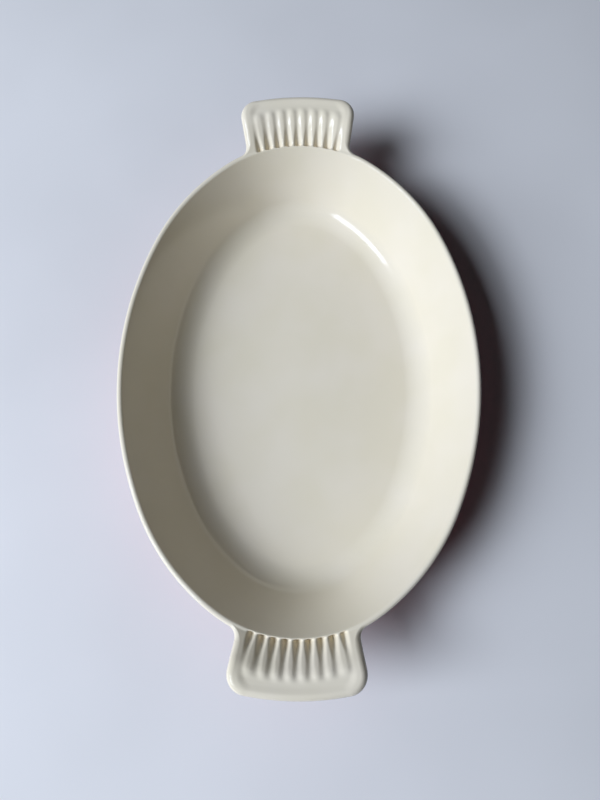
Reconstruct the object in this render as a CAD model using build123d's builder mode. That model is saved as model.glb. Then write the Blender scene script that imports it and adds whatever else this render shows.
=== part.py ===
from build123d import *
from math import acos, asin, atan2, cos, degrees, hypot, radians, sin, sqrt, tan
import os

os.makedirs("parts", exist_ok=True)

# Rim: an oval, measured over its finished enamel. X runs across the dish, Y along it, and the foot stands on Z = 0
rim_width = 215.0
rim_length = 306.0
rim_height = 45.0

# The oval is drawn with tangent arcs: a tight one at each end, a wide one at each side, and one between at each corner
rim_end_radius = 79.3
rim_corner_radius = 131.2
rim_side_radius = 209.0

# Basin: a wall of one thickness that leans outward all round, and a flat floor
wall_thickness = 3.8
wall_draft = 33.5
basin_depth = 39.0
floor_thickness = 4.6
floor_bend_radius = 20.0

# Foot: a low oval ring of bare iron under the floor
foot_width = 6.0
foot_set_in = 1.0
floor_overlap = 5.0

# Enamel: one fired coat inside and over the rim and lugs, one outside. They part below the rim's outer edge
enamel_thickness = 0.4
parting_drop = 3.3
parting_lift = 1.5

# Lugs: a waisted ear at each end that sweeps up from the rim
lug_waist = 67.2
lug_width = 72.4
lug_reach = 25.5
lug_rise = 12.5
lug_thickness = 5.2
lug_slope = 36.0
lug_root_drop = 0.5
lug_root_radius = 5.0
lug_brow_radius = 20.0
lug_edge_radius = 1.6
lug_corner_radius = 10.5
lug_bow_radius = 150.0

# Where a lug's sides run into the rim: a hollow corner, then a short wing that ends inside the wall
junction_radius = 7.0
junction_set_in = 0.0
wing_length = 15.0
wing_angle = 60.0

# Fluted field: a recess in the top of each lug
field_waist = 53.4
field_width = 60.4
field_depth_at_rim = 2.0
field_depth_at_tip = 2.4
field_corner_radius = 7.5
tip_border = 4.4
rim_land_set_in = 1.6

# Ridges between the flutes: they fan out across the field
ridge_count = 8
ridge_pitch_at_rim = 6.2
ridge_pitch_at_tip = 7.1
ridge_width_at_rim = 3.6
ridge_width_at_tip = 6.9
ridge_height_at_rim = 1.75
ridge_height_at_tip = 1.8
ridge_nose = 2.6
ridge_end_gap = 3.0
ridge_root = 0.7
ridge_bury = 0.3

# Shares: where the middle section of a ridge's nose lies along it, and how wide and high it still is there
nose_place_share = 0.6
nose_width_share = 0.82
nose_height_share = 0.72
nose_end_width_share = 0.42
nose_end_height_share = 0.12

# One overrun for cutters, and how many degrees round the end arc's centre the lug's section is carried
overrun = 6.0
lug_sweep = 90.0

# A face counts as upright when its slope differs by less than this
upright_slack = 0.001

# Worked out from the sizes above
half_width = rim_width / 2
half_length = rim_length / 2
rim_radius = wall_thickness / 2
draft = radians(wall_draft)
slope = radians(lug_slope)
floor_top = rim_height - basin_depth
outer_bend_radius = floor_bend_radius + wall_thickness
underside = floor_top - floor_thickness
lug_top = rim_height + lug_rise
above_all = lug_top + overrun
tip_y = half_length + lug_reach
field_climb = lug_rise - field_depth_at_tip + field_depth_at_rim
field_run = lug_reach - tip_border + rim_land_set_in
field_slope = atan2(field_climb, field_run)
ridge_shares = [index - (ridge_count - 1) / 2 for index in range(ridge_count)]


def wall_touch(radius, side):
    """Inset from the rim's edge, and height, where a wall face leaves a round rim: side 1 inside, -1 outside."""
    inset = rim_radius + side * radius * cos(draft)
    height = rim_height - rim_radius + side * radius * sin(draft)
    return inset, height


def bend_centre(side, height):
    """Centre, at a given height, of the bend between the finished wall and the floor."""
    inset, touch_height = wall_touch(rim_radius, side)
    radius = floor_bend_radius if side > 0 else outer_bend_radius
    return inset + (radius - (height - touch_height) * sin(draft)) / cos(draft), height


inner_bend = bend_centre(1, floor_top + floor_bend_radius)
outer_bend = bend_centre(-1, underside + outer_bend_radius)
foot_outside = max(inner_bend[0], outer_bend[0]) + foot_set_in
foot_inside = foot_outside + foot_width
floor_seam = foot_inside + floor_overlap
plate_inset = (foot_outside + floor_seam) / 2

# Centres of the oval's arcs on the +X +Y side, and the directions, in degrees from the X axis, where they join
end_centre = Vector(0, half_length - rim_end_radius)
side_centre = Vector(half_width - rim_side_radius, 0)
end_to_side = side_centre - end_centre
end_to_corner = rim_corner_radius - rim_end_radius
corner_to_side = rim_side_radius - rim_corner_radius
corner_turn = acos(
    (end_to_corner**2 + end_to_side.length**2 - corner_to_side**2) / (2 * end_to_corner * end_to_side.length)
)
corner_lean = atan2(end_to_side.Y, end_to_side.X) + corner_turn
corner_centre = end_centre + Vector(cos(corner_lean), sin(corner_lean)) * end_to_corner
end_join = degrees(atan2(end_centre.Y - corner_centre.Y, end_centre.X - corner_centre.X))
side_join = degrees(atan2(corner_centre.Y - side_centre.Y, corner_centre.X - side_centre.X))

# The oval's +Y half as centre, radius, start and span of each arc, from the +X side round to the -X side
rim_arcs = (
    (side_centre, rim_side_radius, 0, side_join),
    (corner_centre, rim_corner_radius, side_join, end_join - side_join),
    (end_centre, rim_end_radius, end_join, 180 - 2 * end_join),
    (Vector(-corner_centre.X, corner_centre.Y), rim_corner_radius, 180 - end_join, end_join - side_join),
    (Vector(-side_centre.X, 0), rim_side_radius, 180 - side_join, side_join),
)


def section_plane(centre, radius, start):
    """Upright plane square to the rim where an arc starts: its x is the inset from the edge, its y the height."""
    outward = Vector(cos(radians(start)), sin(radians(start)))
    return Plane(origin=centre + outward * radius, x_dir=-outward, z_dir=(-outward.Y, outward.X, 0))


lug_plane = section_plane(end_centre, rim_end_radius, 90 - lug_sweep / 2)
lug_axis = Axis(end_centre, (0, 0, 1))


def half_oval(inset):
    """The +Y half of the oval that runs inside the rim's edge at an even inset."""
    with BuildSketch() as oval:
        with BuildLine() as edge:
            for centre, radius, start, span in rim_arcs:
                CenterArc(centre, radius - inset, start, span)
            Line(edge.line @ 0, edge.line @ 1)
        make_face()
    return oval.sketch


def wall_section(plane, skin, with_foot):
    """Section of wall and floor, drawn in by skin from the finished faces. The foot is bare and keeps its size."""
    cap = rim_radius - skin
    inner_top = wall_touch(cap, 1)
    outer_top = wall_touch(cap, -1)
    crown = (rim_radius - cap * sin(draft), rim_height - rim_radius + cap * cos(draft))
    inner_radius = floor_bend_radius + skin
    outer_radius = outer_bend_radius - skin
    inner_low = (inner_bend[0] - inner_radius * cos(draft), inner_bend[1] - inner_radius * sin(draft))
    outer_low = (outer_bend[0] - outer_radius * cos(draft), outer_bend[1] - outer_radius * sin(draft))
    top = floor_top - skin
    bottom = underside + skin
    with BuildSketch(plane) as section:
        with BuildLine():
            Line((floor_seam, top), (inner_bend[0], top))
            RadiusArc((inner_bend[0], top), inner_low, inner_radius)
            Line(inner_low, inner_top)
            ThreePointArc(inner_top, crown, outer_top)
            Line(outer_top, outer_low)
            RadiusArc(outer_low, (outer_bend[0], bottom), -outer_radius)
            if with_foot:
                Polyline(
                    (outer_bend[0], bottom),
                    (foot_outside, bottom),
                    (foot_outside, 0),
                    (foot_inside, 0),
                    (foot_inside, bottom),
                    (floor_seam, bottom),
                )
            else:
                Line((outer_bend[0], bottom), (floor_seam, bottom))
            Line((floor_seam, bottom), (floor_seam, top))
        make_face()
    return section.sketch


def basin_half(skin, with_foot):
    """The +Y half of the basin: the wall's section turned about the centre of each arc in turn, and a floor."""
    with BuildPart() as basin:
        for centre, radius, start, span in rim_arcs:
            section = wall_section(section_plane(centre, radius, start), skin, with_foot)
            revolve(section, axis=Axis(centre, (0, 0, 1)), revolution_arc=span)
        with BuildSketch(Plane.XY.offset(underside + skin)):
            add(half_oval(plate_inset))
        extrude(amount=floor_thickness - 2 * skin)
    return basin.part


def junction():
    """Where the hollow corner between rim and lug meets the rim, and that corner's centre."""
    reach = rim_end_radius - junction_set_in + junction_radius
    turn = acos((lug_waist / 2 + junction_radius) / reach)
    outward = Vector(cos(turn), sin(turn))
    return end_centre + outward * (reach - junction_radius), end_centre + outward * reach


def lug_outline(skin):
    """The lug seen from above: hollow corners at the rim, flared sides, round corners and a bowed tip."""
    touch, hollow = junction()
    bow_centre = Vector(0, tip_y - lug_bow_radius)
    corner_x = lug_width / 2 - lug_corner_radius
    corner_y = bow_centre.Y + sqrt((lug_bow_radius - lug_corner_radius) ** 2 - corner_x**2)
    corner = Vector(corner_x, corner_y)
    across = corner - hollow
    lean = atan2(across.Y, across.X) - asin((junction_radius + lug_corner_radius) / across.length)
    flare_left = Vector(-sin(lean), cos(lean))
    flare_start = hollow + flare_left * junction_radius
    flare_end = corner - flare_left * lug_corner_radius
    bow_end = bow_centre + (corner - bow_centre).normalized() * lug_bow_radius
    outward = (hollow - touch).normalized()
    wing_lean = radians(wing_angle)
    wing_heading = Vector(outward.Y, -outward.X) * cos(wing_lean) - outward * sin(wing_lean)
    wing_tip = touch + wing_heading * wing_length
    root = Vector(wing_tip.X, wing_tip.Y - overrun)
    with BuildSketch() as outline:
        with BuildLine() as half:
            Polyline((0, root.Y), root, wing_tip, touch)
            RadiusArc(touch, flare_start, junction_radius)
            Line(flare_start, flare_end)
            RadiusArc(flare_end, bow_end, -lug_corner_radius)
            RadiusArc(bow_end, (0, tip_y), -lug_bow_radius)
            mirror(half.line, about=Plane.YZ)
        make_face()
        if skin:
            offset(amount=-skin)
    return outline.sketch


def under_lug_line(lift):
    """A line along the lug's underside, raised by lift: level under the tip, then down into the wall."""
    level_height = lug_top - lug_thickness + lift
    below = rim_height - lug_root_drop - lug_thickness / cos(slope) + lift
    brow = (below - level_height) / tan(slope)
    meet = (rim_radius + (rim_height - rim_radius - below) * tan(draft)) / (1 - tan(slope) * tan(draft))
    return FilletPolyline(
        (-lug_reach - overrun, level_height),
        (brow, level_height),
        (meet, below - meet * tan(slope)),
        radius=lug_brow_radius - lug_thickness,
    )


def lug_blank(skin):
    """The lug before it is fluted: one section that sweeps up from the wall, turned about the end arc's centre."""
    touch_y = junction()[0].Y
    root_height = rim_height - lug_root_drop
    crest_run = (lug_rise + lug_root_drop) / tan(slope)
    with BuildSketch(lug_plane) as section:
        with BuildLine():
            crest = FilletPolyline(
                (rim_radius, root_height),
                (0, root_height),
                (-crest_run, lug_top),
                (-lug_reach - overrun, lug_top),
                radius=[lug_root_radius, lug_brow_radius],
            )
            bottom = under_lug_line(0)
            Line(crest @ 1, bottom @ 0)
            Line(bottom @ 1, crest @ 0)
        make_face()
        if skin:
            offset(amount=-skin)
    with BuildPart() as blank:
        revolve(section.sketch, axis=lug_axis, revolution_arc=lug_sweep)
        with BuildSketch():
            add(lug_outline(skin))
        extrude(amount=above_all, mode=Mode.INTERSECT)
        upright = blank.faces().filter_by(lambda face: face.geom_type in (GeomType.PLANE, GeomType.CYLINDER))
        sides = upright.filter_by(
            lambda face: abs(face.normal_at().Z) < upright_slack and face.center().Y > touch_y
        )
        fillet(sides.edges().filter_by(Axis.Z, reverse=True), lug_edge_radius - skin)
    return blank.part


def field_floor(inset, skin):
    """Height of the fluted field's floor at an inset from the rim's edge, skin below the finished one."""
    return rim_height - field_depth_at_rim + (rim_land_set_in - inset) * tan(field_slope) - skin / cos(field_slope)


def field_cutter(skin):
    """The recess in a lug's top: a floor that climbs with the lug, inside a border of even width."""
    land = rim_land_set_in + skin
    far_y = tip_y - tip_border
    near_y = half_length - 2 * overrun
    flare = (field_width - field_waist) / 2 / (lug_reach - tip_border)
    far_x = field_width / 2
    near_x = far_x - flare * (far_y - near_y)
    corner_y = far_y - lug_bow_radius + sqrt(lug_bow_radius**2 - far_x**2)
    with BuildSketch(lug_plane) as section:
        with BuildLine():
            Polyline(
                (land, field_floor(land, skin)),
                (-lug_reach, field_floor(-lug_reach, skin)),
                (-lug_reach, above_all),
                (land, above_all),
                close=True,
            )
        make_face()
    with BuildPart() as cutter:
        revolve(section.sketch, axis=lug_axis, revolution_arc=lug_sweep)
        with BuildSketch() as plan:
            with BuildLine():
                Polyline((far_x, corner_y), (near_x, near_y), (-near_x, near_y), (-far_x, corner_y))
                ThreePointArc((-far_x, corner_y), (0, far_y), (far_x, corner_y))
            make_face()
            fillet(plan.vertices().group_by(Axis.Y)[-1], field_corner_radius)
            if skin:
                offset(amount=skin)
        extrude(amount=above_all + overrun, mode=Mode.INTERSECT)
    return cutter.part


def ridge_section(place, inset, skin, width, height):
    """Arc-topped section of a ridge where it crosses the end arc at an inset, laid along that arc."""
    lean = asin(place / (rim_end_radius - inset))
    outward = Vector(sin(lean), cos(lean))
    tangent = Vector(outward.Y, -outward.X)
    foot_point = end_centre + outward * (rim_end_radius - inset) + Vector(0, 0, field_floor(inset, skin))
    uphill = outward * cos(field_slope) + Vector(0, 0, sin(field_slope))
    half = width / 2 - skin
    with BuildSketch(Plane(origin=foot_point, x_dir=tangent, z_dir=uphill)) as section:
        with BuildLine():
            ThreePointArc((-half, 0), (0, height), (half, 0))
            Polyline((half, 0), (half, -ridge_root), (-half, -ridge_root), (-half, 0))
        make_face()
    return section.sketch


def ridge(share, skin):
    """One ridge: narrow and steep-sided at the rim, broad outward, with a rounded nose."""
    start = rim_land_set_in + skin + ridge_bury
    end = tip_border + ridge_end_gap - lug_reach
    shoulder = end + ridge_nose
    nose_middle = shoulder + nose_place_share * (end - shoulder)
    stations = (
        (start, ridge_width_at_rim, ridge_height_at_rim),
        (shoulder, ridge_width_at_tip, ridge_height_at_tip),
        (nose_middle, ridge_width_at_tip * nose_width_share, ridge_height_at_tip * nose_height_share),
        (end, ridge_width_at_tip * nose_end_width_share, ridge_height_at_tip * nose_end_height_share),
    )
    sections = []
    for inset, width, height in stations:
        run = (start - inset) / (start - shoulder)
        pitch = ridge_pitch_at_rim + run * (ridge_pitch_at_tip - ridge_pitch_at_rim)
        sections.append(ridge_section(share * pitch, inset, skin, width, height))
    with BuildPart() as bar:
        loft(sections, ruled=True)
    return bar.part


def half_dish(skin, with_foot):
    """The half of the dish on the +Y side, drawn in by skin: basin, lug, fluted field and ridges."""
    with BuildPart() as half:
        add(basin_half(skin, with_foot))
        add(lug_blank(skin))
        add(field_cutter(skin), mode=Mode.SUBTRACT)
        add([ridge(share, skin) for share in ridge_shares])
    return half.part


def inside_of_wall():
    """All that lies on the inner side of the middle of the wall and the floor, for the +Y half."""
    middle_floor = floor_top - rim_radius
    bend_radius = floor_bend_radius + rim_radius
    bend_low = (inner_bend[0] - bend_radius * cos(draft), inner_bend[1] - bend_radius * sin(draft))
    wall_top = (rim_radius, rim_height - rim_radius)
    with BuildPart() as inside:
        with BuildSketch(Plane.XY.offset(middle_floor)):
            add(half_oval(plate_inset))
        extrude(amount=wall_top[1] - middle_floor)
        for centre, radius, start, span in rim_arcs:
            with BuildSketch(section_plane(centre, radius, start)) as section:
                with BuildLine():
                    Line((floor_seam, middle_floor), (inner_bend[0], middle_floor))
                    RadiusArc((inner_bend[0], middle_floor), bend_low, bend_radius)
                    Line(bend_low, wall_top)
                    Polyline(wall_top, (floor_seam, wall_top[1]), (floor_seam, middle_floor))
                make_face()
            revolve(section.sketch, axis=Axis(centre, (0, 0, 1)), revolution_arc=span)
    return inside.part


def above_parting():
    """All that lies above the parting line: level round the rim, and close over the underside of the lug."""
    parting_height = rim_height - parting_drop
    with BuildSketch(lug_plane) as under_section:
        with BuildLine():
            parting = under_lug_line(parting_lift)
            low = (parting @ 1).Y - overrun
            Polyline(parting @ 1, ((parting @ 1).X, low), ((parting @ 0).X, low), parting @ 0)
        make_face()
    with BuildPart() as above:
        with BuildSketch(Plane.XY.offset(parting_height)):
            Rectangle(rim_width + 2 * overrun, 2 * (tip_y + overrun))
        extrude(amount=above_all - parting_height)
        revolve(under_section.sketch, axis=lug_axis, revolution_arc=lug_sweep, mode=Mode.SUBTRACT)
    return above.part


# Bare iron, the finished outside of the enamel, and the coats as what lies between the two, all for one half
iron_half = half_dish(enamel_thickness, True)
finished_half = half_dish(0, False)

with BuildPart() as coats_half:
    add(finished_half)
    add(iron_half, mode=Mode.SUBTRACT)

with BuildPart() as outside_half:
    add(coats_half.part)
    add(inside_of_wall(), mode=Mode.SUBTRACT)
    add(above_parting(), mode=Mode.SUBTRACT)

with BuildPart() as casting:
    add(iron_half)
    mirror(about=Plane.XZ)

with BuildPart() as interior_enamel:
    add(coats_half.part)
    add(outside_half.part, mode=Mode.SUBTRACT)
    mirror(about=Plane.XZ)

with BuildPart() as outside_coats:
    add(outside_half.part)
    mirror(about=Plane.XZ)

# The bare foot parts the outside coat in two: the wall's, and the disc within the foot
with BuildPart() as exterior_enamel:
    add(outside_coats.solids().sort_by(SortBy.VOLUME)[-1])

with BuildPart() as base_enamel:
    add(outside_coats.solids().sort_by(SortBy.VOLUME)[0])

casting.part.label = "casting"
interior_enamel.part.label = "interior_enamel"
exterior_enamel.part.label = "exterior_enamel"
base_enamel.part.label = "base_enamel"

export_step(casting.part, "parts/casting.step")
export_step(interior_enamel.part, "parts/interior_enamel.step")
export_step(exterior_enamel.part, "parts/exterior_enamel.step")
export_step(base_enamel.part, "parts/base_enamel.step")
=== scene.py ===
"""Looks of an oval gratin dish of enamelled cast iron, with a fluted lug at each end.

Shapes are worked out in millimetres and turned to metres when a mesh is made. The frame is the
CAD's: X across the dish, Y along it, Z up, and the foot on Z = 0.
"""
from math import acos, asin, atan2, cos, hypot, pi, radians, sin, sqrt, tan

import bpy
import numpy as np
from mathutils import Matrix, Vector

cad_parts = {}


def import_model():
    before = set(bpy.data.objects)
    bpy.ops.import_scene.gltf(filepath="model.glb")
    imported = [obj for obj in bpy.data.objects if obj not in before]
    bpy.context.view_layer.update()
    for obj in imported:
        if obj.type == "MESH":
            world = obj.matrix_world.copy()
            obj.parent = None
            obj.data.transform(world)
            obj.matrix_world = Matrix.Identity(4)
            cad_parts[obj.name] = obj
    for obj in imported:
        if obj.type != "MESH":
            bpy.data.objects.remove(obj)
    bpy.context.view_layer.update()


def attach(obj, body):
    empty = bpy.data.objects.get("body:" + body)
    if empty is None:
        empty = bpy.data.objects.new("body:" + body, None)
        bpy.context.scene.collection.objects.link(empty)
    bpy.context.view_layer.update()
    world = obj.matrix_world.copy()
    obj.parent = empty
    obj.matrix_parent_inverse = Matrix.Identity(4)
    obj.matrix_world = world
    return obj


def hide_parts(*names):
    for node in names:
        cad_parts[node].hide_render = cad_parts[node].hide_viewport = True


MM = 0.001

# Rim and basin, the same sizes as the CAD's
HALF_WIDTH, HALF_LENGTH, RIM_HEIGHT = 107.5, 153.0, 45.0
END_RADIUS, CORNER_RADIUS, SIDE_RADIUS = 79.3, 131.2, 209.0
WALL, DRAFT = 3.8, radians(33.5)
RIM_RADIUS = WALL / 2
FLOOR_TOP, UNDERSIDE = 6.0, 1.4
BEND_IN, BEND_OUT = 20.0, 23.8
FOOT_SET_IN, FOOT_WIDTH, FOOT_EDGE = 1.0, 6.0, 0.35

# Seams: how far a lug's own surface goes down inside the rim, and how far below the rim the
# cream parts from the rose and the lug's underside ends in the wall
LUG_SEAM_RUN, PARTING_DROP, UNDER_SEAM_DROP = 1.5, 3.3, 14.4

# Lug: its plan, then its rise above the rim. Its top slopes up from SLOPE_START above the rim's
# edge, and its underside from one thickness and UNDER_DROP below that edge
LUG_WAIST, LUG_WIDTH, LUG_REACH = 67.2, 72.4, 25.5
JUNCTION_RADIUS, LUG_CORNER_RADIUS, LUG_BOW_RADIUS = 7.0, 10.5, 150.0
LUG_RISE, LUG_THICKNESS, LUG_SLOPE = 12.5, 5.2, radians(36.0)
SLOPE_START, UNDER_DROP = 1.25, 0.3
TIP_Y = HALF_LENGTH + LUG_REACH

# Lug's rounds: brow of its top and of its underside, edge above and below, underside into wall
LUG_BROW_RADIUS, UNDER_BROW = 20.0, 3.0
LUG_EDGE, LUG_BOTTOM_RADIUS, WALL_FILLET = 3.7, 1.5, 3.0

# Fluted field: a soft hollow inside a border, from LAND inside the rim's edge to near the tip
FIELD_WAIST, FIELD_WIDTH, TIP_BORDER, LAND = 57.6, 66.0, 2.8, 3.0
FIELD_CORNER_RADIUS, BORDER_SOFT = 9.0, 4.4

# Ridges: how many, their spacing, how much wider the outermost one grows, and how far out their
# noses start and end. Below the lug's plain top: their crests, and the valley past the noses
RIDGES, PITCH_AT_RIM, PITCH_AT_TIP, LAST_WIDER = 8, 6.2, 7.1, 2.0
NOSE_START, NOSE_END = 12.6, 18.0
CREST_AT_RIM, CREST_AT_NOSE, VALLEY = 0.35, -0.5, 0.7

# Grooves: depth and half width against distance out, and the length of their round start
GROOVE_OUT = (0.0, 2.0, 4.0, 6.0, 8.0, 11.0, 15.0, 18.0)
GROOVE_DEPTH = (4.3, 3.3, 2.2, 1.4, 1.0, 0.85, 0.85, 0.3)
GROOVE_HALF = (2.75, 2.65, 2.55, 2.5, 2.6, 2.9, 3.3, 3.5)
GROOVE_ROUND = 1.7

# Table of the fluted top's heights: step, half width, start and end, and the blur of the glaze
TABLE_STEP, TABLE_HALF, TABLE_START, TABLE_END = 0.1, 42, -3.4, 30
GLAZE_SOFTNESS = 0.36

# How a lug grows out of the rim: length along the outline over which its edge takes shape, and
# over which its flutes do; where on the rim's crown they begin, and how soon they are there
GROWTH, TOUCH_FADE = 11.0, 3.0
CROWN_TURN, CROWN_FADE = radians(52), 0.9
FLUTES_FROM = RIM_RADIUS * (1 + cos(CROWN_TURN))
# Lead of the columns on the crown, turn of the edge's roll under, and how fast the underside
# comes back from the roll to its plain line
CROWN_LEAD, LOW_TURN, LIFT_FADE = 0.5, radians(80), 6

# Grids: points in each part of a section or an outline
OUTLINE_POINTS, LUG_COLUMNS, SIDE_COLUMNS, END_COLUMNS = 800, 640, 300, 120
SEAM_ROWS, CROWN_ROWS, TOP_ROWS, EDGE_ROWS = 3, 6, 120, 10
DROP_ROWS, ROLL_ROWS, UNDER_ROWS = 4, 8, 40
FLOOR_ROWS, BASE_ROWS, BEND_ROWS, WALL_ROWS, RIM_ROWS, SKIRT_ROWS = 26, 20, 20, 12, 30, 10
FOOT_SIDE_ROWS, FOOT_EDGE_ROWS = 3, 6
# A turn far smaller than a column, and a small part of a table's cell, so that rounding can't put
# a column or a place on the wrong side of a limit
TINY_TURN, TINY_PART = 1e-6, 0.001

# Colours, as sRGB
CREAM_LIGHT, CREAM_DARK = "#f1e5ce", "#eee2c8"
OUTSIDE_LIGHT, OUTSIDE_DARK = "#bd646d", "#b55c66"
IRON, RUST = "#4a4643", "#5e4a3c"
FLOOR_LIGHT, FLOOR_DARK = "#e9e6e3", "#e3e0dd"
# Parts of a noise's range over which colours drift and gloss smears
CLOUD_DRIFT, STAIN_DRIFT, SMEAR_DRIFT = (0.35, 0.65), (0.4, 0.65), (0.3, 0.7)

# Fired enamel: sizes of its patterns and depths of its bumps in millimetres, its roughness from
# smooth to smeared, and the IOR of its glass
CLOUD_SIZE, PEEL_SIZE, WAVE_SIZE, SMEAR_SIZE = 38, 2.6, 17, 6
PEEL_DEPTH, WAVE_DEPTH = 0.009, 0.06
ENAMEL_SMOOTH, ENAMEL_SMEARED, ENAMEL_IOR = 0.09, 0.13, 1.52
# Bare iron: the same, and how metallic the thin rust leaves it
STAIN_SIZE, PIT_SIZE, PIT_DEPTH = 9, 0.7, 0.05
IRON_METALLIC, IRON_ROUGHNESS = 0.55, 0.58
# Painted floor
FLOOR_CLOUD_SIZE, FLOOR_ROUGHNESS, FLOOR_SHINE = 160, 0.85, 0.2

# Lamps: name, azimuth and elevation in degrees, distance, width and height in metres, watts, and
# whether gloss mirrors it. Room: colour, strength, strength as the camera sees it
DAYLIGHT = (0.88, 0.98, 1.16)
LAMPS = (
    ("window", 204.5, 42.0, 2.0, 1.15, 0.5, 14.5, True),
    ("window_glow", 197.0, 40.5, 2.1, 1.05, 1.5, 39.5, False),
)
ROOM = ("#dfe6f2", 0.02, 0.8)
FLOOR_SPAN = 2600.0

# Camera of the photograph: sensor height and lens in millimetres, turns, and place in metres
SENSOR, LENS = 36.0, 27.0
TILT, YAW, ROLL = radians(13.63), radians(1.36), radians(-0.32)
CAMERA_PLACE = Vector((0.0092, -0.1019, 0.3843))


def wall_touch(side):
    """Inset and height where the wall's inner (1) or outer (-1) face leaves the round rim."""
    return (
        RIM_RADIUS + side * RIM_RADIUS * cos(DRAFT),
        RIM_HEIGHT - RIM_RADIUS + side * RIM_RADIUS * sin(DRAFT),
    )


def bend_centre(side, height, radius):
    """Inset of the centre of a bend that is tangent to the wall's face, at the given height."""
    inset, top = wall_touch(side)
    return inset + (radius - (height - top) * sin(DRAFT)) / cos(DRAFT)


def outer_wall(drop):
    """Inset and height of the wall's outer face at a drop below the top of the rim."""
    inset, top = wall_touch(-1)
    return inset + (top - RIM_HEIGHT + drop) * tan(DRAFT), RIM_HEIGHT - drop


# The section, as (inset, height): centres of its arcs and ends of its straight lines
CAP_CENTRE = (RIM_RADIUS, RIM_HEIGHT - RIM_RADIUS)
INNER_BEND = bend_centre(1, FLOOR_TOP + BEND_IN, BEND_IN)
OUTER_BEND = bend_centre(-1, UNDERSIDE + BEND_OUT, BEND_OUT)
FOOT_OUTSIDE = max(INNER_BEND, OUTER_BEND) + FOOT_SET_IN
FOOT_INSIDE = FOOT_OUTSIDE + FOOT_WIDTH
INNER_TOUCH, OUTER_TOUCH = wall_touch(1), wall_touch(-1)
INNER_LOW = (INNER_BEND - BEND_IN * cos(DRAFT), FLOOR_TOP + BEND_IN * (1 - sin(DRAFT)))
OUTER_LOW = (OUTER_BEND - BEND_OUT * cos(DRAFT), UNDERSIDE + BEND_OUT * (1 - sin(DRAFT)))
LUG_SEAM = (
    INNER_TOUCH[0] + LUG_SEAM_RUN * sin(DRAFT),
    INNER_TOUCH[1] - LUG_SEAM_RUN * cos(DRAFT),
)
PARTING, UNDER_SEAM = outer_wall(PARTING_DROP), outer_wall(UNDER_SEAM_DROP)

END_CENTRE_Y = HALF_LENGTH - END_RADIUS
SIDE_CENTRE_X = HALF_WIDTH - SIDE_RADIUS


def corner_centre():
    """Centre of the arc tangent to the end arc and the side arc, on the +X +Y side.

    It lies at the difference of radii from each of their centres, so the law of cosines gives it.
    """
    near, far = CORNER_RADIUS - END_RADIUS, SIDE_RADIUS - CORNER_RADIUS
    span = hypot(SIDE_CENTRE_X, END_CENTRE_Y)
    turn = acos((near**2 + span**2 - far**2) / (2 * near * span))
    lean = atan2(-END_CENTRE_Y, SIDE_CENTRE_X) + turn
    return near * cos(lean), END_CENTRE_Y + near * sin(lean)


# Directions where the rim's arcs join, and where a lug's hollow corner touches the end arc
CORNER_X, CORNER_Y = corner_centre()
END_JOIN = atan2(END_CENTRE_Y - CORNER_Y, -CORNER_X)
SIDE_JOIN = atan2(CORNER_Y, CORNER_X - SIDE_CENTRE_X)
TOUCH_TURN = acos((LUG_WAIST / 2 + JUNCTION_RADIUS) / (END_RADIUS + JUNCTION_RADIUS))


def arc(centre, radius, start, end, count):
    """count points centre + radius * (cos t, sin t), with t from start to end."""
    angle = np.linspace(start, end, count)
    return np.stack([centre[0] + radius * np.cos(angle), centre[1] + radius * np.sin(angle)], 1)


def line(start, end, count):
    """count points on a straight line, both ends included."""
    share = np.linspace(0, 1, count)[:, None]
    return np.array(start) * (1 - share) + np.array(end) * share


def swept_oval(profile, turns):
    """Profile of (inset, height) carried round the rim.

    Plan: centre(t) + (radius(t) - inset) * (cos t, sin t), with the centre and radius of the
    tangent arc whose normals point the way t does. The height is z.
    """
    c, s = np.cos(turns), np.sin(turns)
    fold = np.arctan2(np.abs(s), np.abs(c))
    side, end = fold < SIDE_JOIN, fold > END_JOIN
    x = np.where(end, 0, np.where(side, SIDE_CENTRE_X, CORNER_X)) * np.sign(c)
    y = np.where(end, END_CENTRE_Y, np.where(side, 0, CORNER_Y)) * np.sign(s)
    radius = np.where(end, END_RADIUS, np.where(side, SIDE_RADIUS, CORNER_RADIUS))
    reach = radius[None, :] - profile[:, :1]
    z = np.broadcast_to(profile[:, 1:], reach.shape)
    return np.stack([x + reach * c, y + reach * s, z], 2)


def disc(ring, height, rows):
    """Rows that shrink a ring evenly to its centre, at one height: ring * share, 0 < share < 1."""
    share = np.linspace(0, 1, rows + 1)[1:-1, None]
    x = ring[None, :, 0] * share
    y = ring[None, :, 1] * share
    return np.stack([x, y, np.full_like(x, height)], 2)


def with_height(plan, height):
    """Points (x, y, z) from their plan (x, y) and their heights z."""
    return np.concatenate([plan, height[..., None]], -1)


def mesh_object(name, vertices, faces, material):
    """A smooth-shaded mesh object at the origin, from vertices in millimetres."""
    mesh = bpy.data.meshes.new(name)
    mesh.from_pydata((np.asarray(vertices) * MM).tolist(), [], faces)
    mesh.shade_smooth()
    mesh.materials.append(material)
    mesh.validate()
    made = bpy.data.objects.new(name, mesh)
    bpy.context.scene.collection.objects.link(made)
    return made


def grid_faces(rows, columns, wrap=False, keep=None):
    """Quads between neighbouring rows and columns of a grid, those that the mask keep leaves in."""
    index = np.arange(rows * columns).reshape(rows, columns)
    if wrap:
        index = np.concatenate([index, index[:, :1]], 1)
    quads = np.stack([index[:-1, :-1], index[1:, :-1], index[1:, 1:], index[:-1, 1:]], 2)
    if keep is not None:
        return quads[keep].tolist()
    return quads.reshape(-1, 4).tolist()


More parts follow.
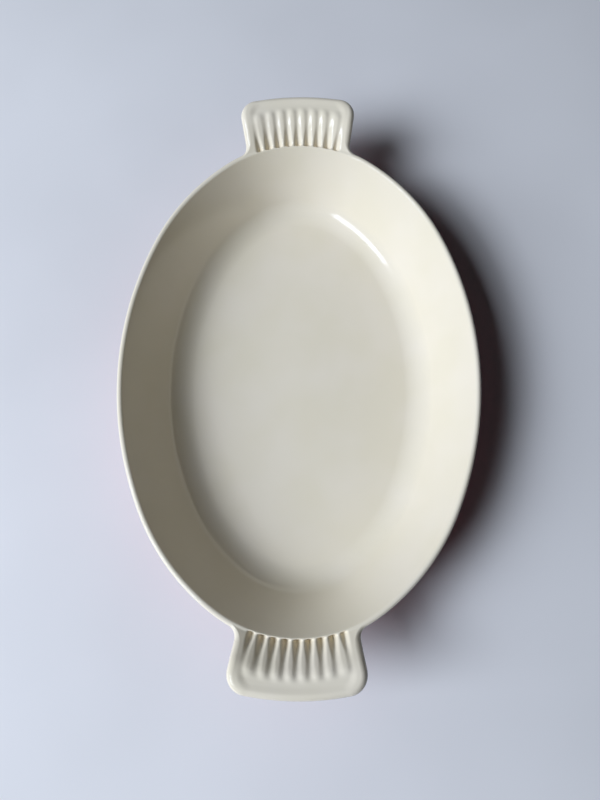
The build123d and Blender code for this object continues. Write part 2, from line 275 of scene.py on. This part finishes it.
def shell(name, rings, material, keep=None, pole=None):
    """Rings joined in order and closed round the oval, with a fan to a pole before the first.

    The faces point to the left of the way the rings follow each other, seen along the columns.
    """
    rows, columns = rings.shape[:2]
    vertices = rings.reshape(-1, 3)
    faces = grid_faces(rows, columns, wrap=True, keep=keep)
    if pole is not None:
        vertices = np.concatenate([vertices, np.array(pole)[None]], 0)
        tip = len(vertices) - 1
        faces += [[tip, i, (i + 1) % columns] for i in range(columns)]
    return mesh_object(name, vertices, faces, material)


def both_ends(name, grid, material):
    """The grid as one mesh for each end: turned half a circle about Z for -Y, as it is for +Y."""
    rows, columns = grid.shape[:2]
    made = []
    for end, turn in (("front", -1), ("back", 1)):
        vertices = grid.reshape(-1, 3) * np.array([turn, turn, 1])
        faces = grid_faces(rows, columns)
        made.append(mesh_object(f"{name}_{end}", vertices, faces, material))
    return made


def run_length(points):
    """Distance run along a line of points, up to each of them."""
    steps = np.linalg.norm(np.diff(points, axis=0), axis=1)
    return np.concatenate([[0], np.cumsum(steps)])


def lug_outline(count):
    """Plan of the lug from its right touch point to its left one, evenly spaced, and its normals.

    A hollow arc leaves the rim, a straight flare joins it to a round corner, and a bowed arc
    closes the tip. Each arc is centre + radius * (cos t, sin t), where t is the way the inward
    normal points, so the radius is negative where the centre lies within the lug. The flare is
    the line common to the hollow and the corner, which turn opposite ways: it leans by the
    direction between their centres less asin(sum of radii / distance).
    """
    from_end = END_RADIUS + JUNCTION_RADIUS
    hollow = np.array([from_end * cos(TOUCH_TURN), END_CENTRE_Y + from_end * sin(TOUCH_TURN)])
    bow = np.array([0, TIP_Y - LUG_BOW_RADIUS])
    corner_x = LUG_WIDTH / 2 - LUG_CORNER_RADIUS
    corner_up = sqrt((LUG_BOW_RADIUS - LUG_CORNER_RADIUS) ** 2 - corner_x**2)
    corner = bow + np.array([corner_x, corner_up])
    across, up = corner - hollow
    lean = atan2(up, across) - asin((JUNCTION_RADIUS + LUG_CORNER_RADIUS) / hypot(across, up))

    flare_turn, bow_turn = lean + pi / 2, pi + atan2(corner_up, corner_x)
    arcs = (
        (hollow, JUNCTION_RADIUS, pi + TOUCH_TURN, flare_turn),
        (corner, -LUG_CORNER_RADIUS, flare_turn, bow_turn),
        (bow, -LUG_BOW_RADIUS, bow_turn, 1.5 * pi),
    )
    mirror = np.array([-1, 1])
    points = np.concatenate([arc(*each, OUTLINE_POINTS) for each in arcs])
    points = np.concatenate([points, points[-2::-1] * mirror])
    inward = np.concatenate([arc((0, 0), 1, *each[2:], OUTLINE_POINTS) for each in arcs])
    inward = np.concatenate([inward, inward[-2::-1] * mirror])

    run = run_length(points)
    want = np.linspace(0, run[-1], count)
    points = np.stack([np.interp(want, run, points[:, i]) for i in (0, 1)], 1)
    inward = np.stack([np.interp(want, run, inward[:, i]) for i in (0, 1)], 1)
    return points, inward / np.linalg.norm(inward, axis=1, keepdims=True)


def smooth_step(value):
    """0 below 0, 1 above 1, and 3v^2 - 2v^3 between."""
    v = np.clip(value, 0, 1)
    return v * v * (3 - 2 * v)


def soft_min(first, second, reach):
    """The lower of two heights, rounded where they differ by less than the reach.

    There it is the lesser, less (reach - difference)^2 / (4 reach).
    """
    near = np.clip(reach - np.abs(first - second), 0, None)
    return np.minimum(first, second) - near**2 / (4 * reach)


def round_both(first, second, radius):
    """Distance inside two edges at once, with their corner rounded.

    It is the lesser of the two, and near the corner the radius less the hypot of what each
    lacks of it.
    """
    lack = np.hypot(np.clip(radius - first, 0, None), np.clip(radius - second, 0, None))
    lesser = np.minimum(first, second)
    return np.where(lesser > radius, lesser, radius - lack)


def blur(table, step, sigma):
    """Gaussian blur along both axes of a table, edges repeated."""
    reach = int(3 * sigma / step) + 1
    kernel = np.exp(-0.5 * (np.arange(-reach, reach + 1) * step / sigma) ** 2)
    kernel /= kernel.sum()
    for axis in (0, 1):
        margin = [(reach, reach) if i == axis else (0, 0) for i in (0, 1)]
        padded = np.pad(table, margin, mode="edge")
        table = np.apply_along_axis(np.convolve, axis, padded, kernel, mode="valid")
    return table


def rim_out(plan):
    """Distance out from the rim's edge near an end, where the edge is the end arc."""
    return np.hypot(plan[..., 0], np.abs(plan[..., 1]) - END_CENTRE_Y) - END_RADIUS


def rim_crown(out):
    """Height of the round rim against distance out from its edge: sqrt(r^2 - (out + r)^2) - r."""
    return np.sqrt(np.clip(RIM_RADIUS**2 - (out + RIM_RADIUS) ** 2, 0, None)) - RIM_RADIUS


def lug_spine(out):
    """Height of the lug's plain top above the rim, against distance out.

    A straight slope comes out of the rim's crown, and a brow arc tangent to it ends in a level
    tip. The brow runs radius * tan(slope / 2) to each side of where the two lines would meet.
    """
    rise = tan(LUG_SLOPE)
    brow_run = LUG_BROW_RADIUS * tan(LUG_SLOPE / 2)
    brow_at = (LUG_RISE - SLOPE_START) / rise
    brow_end = brow_at + brow_run
    over_centre = np.sqrt(np.clip(LUG_BROW_RADIUS**2 - (out - brow_end) ** 2, 0, None))
    brow_arc = LUG_RISE - LUG_BROW_RADIUS + over_centre
    on_slope = out <= brow_at - brow_run * cos(LUG_SLOPE)
    lug = np.where(on_slope, SLOPE_START + out * rise, brow_arc)
    lug = np.where(out > brow_end, LUG_RISE, lug)
    return np.maximum(lug, rim_crown(out))


TABLE_X = np.arange(-TABLE_HALF, TABLE_HALF + TABLE_STEP / 2, TABLE_STEP)
TABLE_OUT = np.arange(TABLE_START, TABLE_END + TABLE_STEP / 2, TABLE_STEP)


def fluted_table():
    """Heights of the lug's top above the rim on a grid of x and distance out from the rim's edge.

    The height is the lug's plain top less a depth. A groove is a smooth trough that starts
    round-ended in the rim's crown, deep and narrow, and grows shallow and wide outwards. The
    crests between the grooves swell a little above the plain top and come down in smooth noses
    to a shallow valley. The depth fades out towards the border, and everything is blurred a
    little, as the glaze rounds edges off.
    """
    x, out = np.meshgrid(TABLE_X, TABLE_OUT, indexing="ij")
    reach_y = np.sqrt((END_RADIUS + out) ** 2 - x**2) + END_CENTRE_Y
    from_land = out + LAND
    along = np.clip(from_land / (NOSE_END + LAND), 0, 1)

    # Place across, counted in ridges from the middle; the outermost grows wider towards the tip
    pitch = PITCH_AT_RIM + (PITCH_AT_TIP - PITCH_AT_RIM) * along
    half_count = RIDGES / 2
    even = half_count - 1
    beyond = np.clip(np.abs(x) - even * pitch, 0, None)
    place = np.minimum(np.abs(x) / pitch, even) + beyond / (pitch + LAST_WIDER * along)
    from_groove = np.abs(place - np.clip(np.round(place), 0, half_count)) * pitch

    trough = 1 - smooth_step(from_groove / np.interp(out, GROOVE_OUT, GROOVE_HALF))
    opened = np.sqrt(1 - np.clip(1 - from_land / GROOVE_ROUND, 0, 1) ** 2)
    groove = np.interp(out, GROOVE_OUT, GROOVE_DEPTH) * trough * opened
    crest = CREST_AT_RIM + (CREST_AT_NOSE - CREST_AT_RIM) * smooth_step(out / NOSE_START)
    nose = 1 - smooth_step((out - NOSE_START) / (NOSE_END - NOSE_START))
    depth = VALLEY - (VALLEY - crest - groove) * nose

    # Border: distance inside the field's bowed tip and flared sides
    from_tip = TIP_Y - TIP_BORDER - reach_y
    flare = (FIELD_WIDTH - FIELD_WAIST) / 2 / (LUG_REACH - TIP_BORDER)
    tip_inside = from_tip - x**2 / (2 * LUG_BOW_RADIUS)
    side_inside = FIELD_WIDTH / 2 - flare * from_tip - np.abs(x)
    inside = round_both(tip_inside, side_inside, FIELD_CORNER_RADIUS)
    depth = depth * smooth_step(inside / BORDER_SOFT) * smooth_step(from_land / CROWN_FADE)
    return blur(lug_spine(out) - depth, TABLE_STEP, GLAZE_SOFTNESS)


def sample(table, x, out):
    """Value of the table between its grid points, by weighing the four nearest."""
    gx = np.clip((x - TABLE_X[0]) / TABLE_STEP, 0, len(TABLE_X) - 1 - TINY_PART)
    go = np.clip((out - TABLE_OUT[0]) / TABLE_STEP, 0, len(TABLE_OUT) - 1 - TINY_PART)
    ix, io = gx.astype(int), go.astype(int)
    fx, fo = gx - ix, go - io
    low = table[ix, io] * (1 - fo) + table[ix, io + 1] * fo
    high = table[ix + 1, io] * (1 - fo) + table[ix + 1, io + 1] * fo
    return low * (1 - fx) + high * fx


def under_line(plan, grown):
    """Height of the lug's underside over a plan, weighed by how far the lug has grown.

    Full grown it is level under the tip, slopes down at the lug's own slope and runs into the
    line of the outer wall, each corner rounded. Not grown at all, it is the wall's line.
    """
    out = rim_out(plan)
    wall = OUTER_TOUCH[1] + (out + OUTER_TOUCH[0]) / tan(DRAFT)
    return wall + (soft_min(under_height(out), wall, WALL_FILLET) - wall) * grown


def under_height(out):
    """Height of the lug's plain underside: level under the tip, then a slope down to the wall."""
    level = RIM_HEIGHT + LUG_RISE - LUG_THICKNESS
    slope = RIM_HEIGHT - UNDER_DROP - LUG_THICKNESS / cos(LUG_SLOPE) + out * tan(LUG_SLOPE)
    return soft_min(level, slope, UNDER_BROW)


def lug_grids(table):
    """Two grids of one lug on the +Y side: its top as far as the parting line, and its underside.

    Columns follow the outline from the right touch point to the left one. A column starts on
    the inside of the rim, crosses the crown, runs straight to the outline, rolls over it in a
    quarter circle, drops, rolls under, and runs back to the wall. At both ends the column is
    the rim's own section, so the lug grows out of the rim. On the crown the columns run ahead
    of their places on the outline, u + lead * sin(2 pi u) / 2 pi, so that no two of them cross.
    """
    edge, inward = lug_outline(LUG_COLUMNS)
    share = np.linspace(0, 1, LUG_COLUMNS)
    lead = share + CROWN_LEAD * np.sin(2 * pi * share) / (2 * pi)
    turns = TOUCH_TURN + lead * (pi - 2 * TOUCH_TURN)
    run = run_length(edge)
    from_touch = np.minimum(run, run[-1] - run)
    grown = smooth_step(from_touch / GROWTH)

    # Inside of the rim, and over its crown as far as the flutes
    inner = np.concatenate([
        line(LUG_SEAM, INNER_TOUCH, SEAM_ROWS)[:-1],
        arc(CAP_CENTRE, RIM_RADIUS, DRAFT, CROWN_TURN, CROWN_ROWS),
    ])
    rim_rows = swept_oval(inner, turns)

    # Fluted top, straight across to where the edge begins to round over
    top_radius = RIM_RADIUS + (LUG_EDGE - RIM_RADIUS) * grown
    crown = rim_rows[-1, :, :2]
    step = np.linspace(0, 1, TOP_ROWS)[1:, None, None]
    plan = crown + (edge + inward * top_radius[:, None] - crown) * step
    out = rim_out(plan)
    own = smooth_step((out + FLUTES_FROM) / CROWN_FADE) * smooth_step(from_touch / TOUCH_FADE)
    plain = rim_crown(out)
    height = RIM_HEIGHT + plain + (sample(table, plan[..., 0], out) - plain) * own
    top_rows = with_height(plan, height)

    # Edge: a quarter circle over, a drop, and a roll under
    low_radius = RIM_RADIUS + (LUG_BOTTOM_RADIUS - RIM_RADIUS) * grown
    top_centre = height[-1] - top_radius
    low_centre = np.minimum(under_height(rim_out(edge)) + low_radius, top_centre)
    rim_level = RIM_HEIGHT - RIM_RADIUS
    low_centre = rim_level + (low_centre - rim_level) * grown
    over = np.linspace(0, pi / 2, EDGE_ROWS)[1:, None]
    drop = np.linspace(0, 1, DROP_ROWS)[1:, None]
    under = (DRAFT + (LOW_TURN - DRAFT) * grown) * np.linspace(0, 1, ROLL_ROWS)[1:, None]
    inset = np.concatenate([
        top_radius * (1 - np.sin(over)),
        np.zeros((len(drop), LUG_COLUMNS)),
        low_radius * (1 - np.cos(under)),
    ])
    height = np.concatenate([
        top_centre + top_radius * np.cos(over),
        top_centre + (low_centre - top_centre) * drop,
        low_centre - low_radius * np.sin(under),
    ])
    edge_rows = with_height(edge + inward * inset[..., None], height)

    # Underside, from the roll back to the wall; its first row is the parting line
    low_plan = edge_rows[-1, :, :2]
    wall_plan = swept_oval(np.array([UNDER_SEAM]), turns)[0, :, :2]
    parting = (OUTER_TOUCH[1] - PARTING[1]) / (OUTER_TOUCH[1] - UNDER_SEAM[1])
    step = np.linspace(parting, 1, UNDER_ROWS)[:, None]
    plan = low_plan + (wall_plan - low_plan) * step[..., None]
    lift = (height[-1] - under_line(low_plan, grown)) * (1 - step) ** LIFT_FADE
    under_rows = with_height(plan, under_line(plan, grown) + lift)
    return np.concatenate([rim_rows, top_rows, edge_rows, under_rows[:1]]), under_rows


def oval_turns():
    """Directions round the oval, closer on the end arcs, one at each touch point of a lug."""
    side = np.linspace(-TOUCH_TURN, TOUCH_TURN, SIDE_COLUMNS, endpoint=False)
    end = np.linspace(TOUCH_TURN, pi - TOUCH_TURN, END_COLUMNS, endpoint=False)
    return np.concatenate([side, end, side + pi, end + pi])


def lug_columns(turns):
    """Which columns lie within the width of a lug, from its right touch point to its left one."""
    return np.abs(np.sin(turns + TINY_TURN)) > sin(TOUCH_TURN)


def inside_shell(turns, material):
    """Floor, bend, wall and round rim down to the parting line, left open at the lugs."""
    below = np.concatenate([
        arc((INNER_BEND, FLOOR_TOP + BEND_IN), BEND_IN, -pi / 2, DRAFT - pi, BEND_ROWS),
        line(INNER_LOW, LUG_SEAM, WALL_ROWS)[1:],
    ])
    above = np.concatenate([
        line(LUG_SEAM, INNER_TOUCH, SEAM_ROWS)[1:],
        arc(CAP_CENTRE, RIM_RADIUS, DRAFT, pi + DRAFT, RIM_ROWS)[1:],
        [PARTING],
    ])
    rings = swept_oval(np.concatenate([below, above]), turns)
    rings = np.concatenate([disc(rings[0], FLOOR_TOP, FLOOR_ROWS), rings])
    keep = np.ones((len(rings) - 1, len(turns)), bool)
    keep[-len(above):, lug_columns(turns)] = False
    return shell("enamel_inside", rings, material, keep, pole=(0, 0, FLOOR_TOP))


def outside_shell(turns, material):
    """Outer wall, bend and underside as far as the foot, left open at the lugs' undersides."""
    above = line(PARTING, UNDER_SEAM, SKIRT_ROWS)
    below = np.concatenate([
        line(UNDER_SEAM, OUTER_LOW, WALL_ROWS)[1:],
        arc((OUTER_BEND, UNDERSIDE + BEND_OUT), BEND_OUT, DRAFT - pi, -pi / 2, BEND_ROWS)[1:],
        [(FOOT_OUTSIDE, UNDERSIDE)],
    ])
    rings = swept_oval(np.concatenate([above, below]), turns)
    keep = np.ones((len(rings) - 1, len(turns)), bool)
    keep[: len(above) - 1, lug_columns(turns)] = False
    return shell("enamel_outside", rings, material, keep)


def foot_ring(turns, material):
    """Bare iron foot: down out of the enamel, across its sole with small round edges, and up."""
    section = np.concatenate([
        line((FOOT_OUTSIDE, UNDERSIDE), (FOOT_OUTSIDE, FOOT_EDGE), FOOT_SIDE_ROWS)[:-1],
        arc((FOOT_OUTSIDE + FOOT_EDGE, FOOT_EDGE), FOOT_EDGE, pi, 1.5 * pi, FOOT_EDGE_ROWS),
        arc((FOOT_INSIDE - FOOT_EDGE, FOOT_EDGE), FOOT_EDGE, -pi / 2, 0, FOOT_EDGE_ROWS),
        line((FOOT_INSIDE, FOOT_EDGE), (FOOT_INSIDE, UNDERSIDE), FOOT_SIDE_ROWS)[1:],
    ])
    return shell("iron_foot", swept_oval(section, turns), material)


def base_disc(turns, material):
    """Enamelled underside within the foot; it goes round the other way, so that it faces down."""
    ring = swept_oval(np.array([[FOOT_INSIDE, UNDERSIDE]]), turns[::-1])
    rings = np.concatenate([disc(ring[0], UNDERSIDE, BASE_ROWS), ring])
    return shell("enamel_base", rings, material, pole=(0, 0, UNDERSIDE))


def linear(code):
    """Linear colour of an sRGB hex code.

    Each part c is c / 12.92 up to 0.04045, and ((c + 0.055) / 1.055)^2.4 above.
    """
    parts = [int(code[i : i + 2], 16) / 255 for i in (1, 3, 5)]
    linear_parts = [c / 12.92 if c <= 0.04045 else ((c + 0.055) / 1.055) ** 2.4 for c in parts]
    return (*linear_parts, 1.0)


def noise_scale(size):
    """Scale of a noise whose lumps are about size millimetres across: 1 / size in metres."""
    return 1 / (size * MM)


def add_node(tree, kind, inputs, **settings):
    """A node with its settings, and with each input set to a value or linked from an output.

    Inputs go by name, or by number where a node has several of one name.
    """
    made = tree.nodes.new(kind)
    for name, value in settings.items():
        setattr(made, name, value)
    for key, value in inputs.items():
        if isinstance(value, bpy.types.NodeSocket):
            tree.links.new(value, made.inputs[key])
        else:
            made.inputs[key].default_value = value
    return made


def new_material(name):
    """An empty node material, its tree, and the Object coordinates that its patterns read."""
    material = bpy.data.materials.new(name)
    material.use_nodes = True
    tree = material.node_tree
    tree.nodes.clear()
    return material, tree, add_node(tree, "ShaderNodeTexCoord", {}).outputs["Object"]


def drifting_colour(tree, value, drift, first, second):
    """Colour that goes from first to second as a pattern's value goes through the drift."""
    share = add_node(tree, "ShaderNodeMapRange", {
        "Value": value, "From Min": drift[0], "From Max": drift[1],
    })
    blend = add_node(tree, "ShaderNodeMix", {
        0: share.outputs[0], 6: linear(first), 7: linear(second),
    }, data_type="RGBA")
    return blend.outputs[2]


def fired_enamel(name, light, dark):
    """Vitreous enamel fired on cast iron: glass over colour, glossy and a little uneven.

    Its faint orange peel and the slow waves of the iron below keep the highlights from looking
    machined, and its gloss and colour drift a little, as a sprayed and fired coat's do.
    """
    material, tree, where = new_material(name)
    cloud = add_node(tree, "ShaderNodeTexNoise", {
        "Vector": where, "Scale": noise_scale(CLOUD_SIZE), "Detail": 2.0,
    })
    colour = drifting_colour(tree, cloud.outputs[0], CLOUD_DRIFT, light, dark)
    peel = add_node(tree, "ShaderNodeTexNoise", {
        "Vector": where, "Scale": noise_scale(PEEL_SIZE), "Detail": 1.0,
    })
    waves = add_node(tree, "ShaderNodeTexNoise", {
        "Vector": where, "Scale": noise_scale(WAVE_SIZE), "Detail": 1.0,
    })
    fine = add_node(tree, "ShaderNodeBump", {
        "Height": peel.outputs[0], "Strength": 1.0, "Distance": PEEL_DEPTH * MM,
    })
    bump = add_node(tree, "ShaderNodeBump", {
        "Height": waves.outputs[0], "Strength": 1.0, "Distance": WAVE_DEPTH * MM,
        "Normal": fine.outputs[0],
    })
    smear = add_node(tree, "ShaderNodeTexNoise", {
        "Vector": where, "Scale": noise_scale(SMEAR_SIZE), "Detail": 2.0,
    })
    rough = add_node(tree, "ShaderNodeMapRange", {
        "Value": smear.outputs[0], "From Min": SMEAR_DRIFT[0], "From Max": SMEAR_DRIFT[1],
        "To Min": ENAMEL_SMOOTH, "To Max": ENAMEL_SMEARED,
    })
    shader = add_node(tree, "ShaderNodeBsdfPrincipled", {
        "Base Color": colour, "Roughness": rough.outputs[0], "IOR": ENAMEL_IOR,
        "Normal": bump.outputs[0],
    })
    add_node(tree, "ShaderNodeOutputMaterial", {"Surface": shader.outputs[0]})
    return material


def ground_iron():
    """Bare cast iron, ground flat on the sole and rusted a little brown: dull, dark and pitted.

    Real pits are a few tenths of a millimetre wide; they are drawn coarser, so that they show.
    """
    material, tree, where = new_material("ground_cast_iron")
    stain = add_node(tree, "ShaderNodeTexNoise", {
        "Vector": where, "Scale": noise_scale(STAIN_SIZE), "Detail": 4.0, "Roughness": 0.6,
    })
    colour = drifting_colour(tree, stain.outputs[0], STAIN_DRIFT, IRON, RUST)
    pits = add_node(tree, "ShaderNodeTexNoise", {
        "Vector": where, "Scale": noise_scale(PIT_SIZE), "Detail": 3.0,
    })
    bump = add_node(tree, "ShaderNodeBump", {
        "Height": pits.outputs[0], "Strength": 1.0, "Distance": PIT_DEPTH * MM,
    })
    shader = add_node(tree, "ShaderNodeBsdfPrincipled", {
        "Base Color": colour, "Metallic": IRON_METALLIC, "Roughness": IRON_ROUGHNESS,
        "Normal": bump.outputs[0],
    })
    add_node(tree, "ShaderNodeOutputMaterial", {"Surface": shader.outputs[0]})
    return material


def floor_material():
    """Pale painted table top: matt, its colour all but even."""
    material, tree, where = new_material("pale_floor")
    cloud = add_node(tree, "ShaderNodeTexNoise", {
        "Vector": where, "Scale": noise_scale(FLOOR_CLOUD_SIZE), "Detail": 2.0,
    })
    colour = drifting_colour(tree, cloud.outputs[0], CLOUD_DRIFT, FLOOR_LIGHT, FLOOR_DARK)
    shader = add_node(tree, "ShaderNodeBsdfPrincipled", {
        "Base Color": colour, "Roughness": FLOOR_ROUGHNESS, "Specular IOR Level": FLOOR_SHINE,
    })
    add_node(tree, "ShaderNodeOutputMaterial", {"Surface": shader.outputs[0]})
    return material


def soft_lamp(name, azimuth, elevation, distance, width, height, watts, mirrored):
    """A soft rectangular lamp that looks at the dish from an azimuth (+X towards +Y)."""
    lamp = bpy.data.lights.new(name, "AREA")
    lamp.shape = "RECTANGLE"
    lamp.size, lamp.size_y = width, height
    lamp.energy, lamp.color = watts, DAYLIGHT
    made = bpy.data.objects.new(name, lamp)
    made.visible_glossy = mirrored
    bpy.context.scene.collection.objects.link(made)
    a, e = radians(azimuth), radians(elevation)
    back = Vector((cos(e) * cos(a), cos(e) * sin(a), sin(e)))
    right = Vector((-sin(a), cos(a), 0))
    turned = Matrix((right, back.cross(right), back)).transposed().to_4x4()
    made.matrix_world = Matrix.Translation(back * distance) @ turned


def world_fill(code, strength, seen):
    """Faint even light of one colour, what the room gives back, seen as a pale wall behind."""
    world = bpy.data.worlds.new("room")
    world.use_nodes = True
    tree = world.node_tree
    camera_ray = add_node(tree, "ShaderNodeLightPath", {}).outputs["Is Camera Ray"]
    level = add_node(tree, "ShaderNodeMapRange", {
        "Value": camera_ray, "To Min": strength, "To Max": seen,
    })
    shader = tree.nodes["Background"]
    shader.inputs["Color"].default_value = linear(code)
    tree.links.new(level.outputs[0], shader.inputs["Strength"])
    bpy.context.scene.world = world


def photo_camera():
    """Camera where the photograph's view needs it: nearly straight down, a little from -Y."""
    data = bpy.data.cameras.new("camera")
    data.sensor_fit = "VERTICAL"
    data.sensor_height = SENSOR
    data.lens = LENS
    camera = bpy.data.objects.new("camera", data)
    bpy.context.scene.collection.objects.link(camera)
    turn = (
        Matrix.Rotation(ROLL, 3, "Z") @ Matrix.Rotation(TILT, 3, "X") @ Matrix.Rotation(YAW, 3, "Y")
    )
    camera.matrix_world = Matrix.Translation(CAMERA_PLACE) @ turn.to_4x4()
    bpy.context.scene.camera = camera


def main():
    """Looks built round the loaded solids, with the floor, the lamps, the room and the camera."""
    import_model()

    cream = fired_enamel("cream_enamel", CREAM_LIGHT, CREAM_DARK)
    rose = fired_enamel("rose_enamel", OUTSIDE_LIGHT, OUTSIDE_DARK)
    iron = ground_iron()

    turns = oval_turns()
    upper, lower = lug_grids(fluted_table())
    inside = [inside_shell(turns, cream), *both_ends("lug_top", upper, cream)]
    outside = [outside_shell(turns, rose), *both_ends("lug_underside", lower, rose)]
    outside.append(base_disc(turns, rose))
    foot = foot_ring(turns, iron)

    coats = ((inside, "interior_enamel"), (outside, "exterior_enamel"), ([foot], "cast_iron"))
    for pieces, slot in coats:
        for piece in pieces:
            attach(piece, "root")
    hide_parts("interior_enamel")
    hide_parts("exterior_enamel")
    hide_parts("base_enamel")
    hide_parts("casting")

    half = FLOOR_SPAN / 2
    corners = [[-half, -half, 0], [half, -half, 0], [half, half, 0], [-half, half, 0]]
    floor = mesh_object("floor", corners, [[0, 1, 2, 3]], floor_material())
    for lamp in LAMPS:
        soft_lamp(*lamp)
    world_fill(*ROOM)
    photo_camera()

    bpy.context.scene.view_settings.view_transform = "Standard"


main()
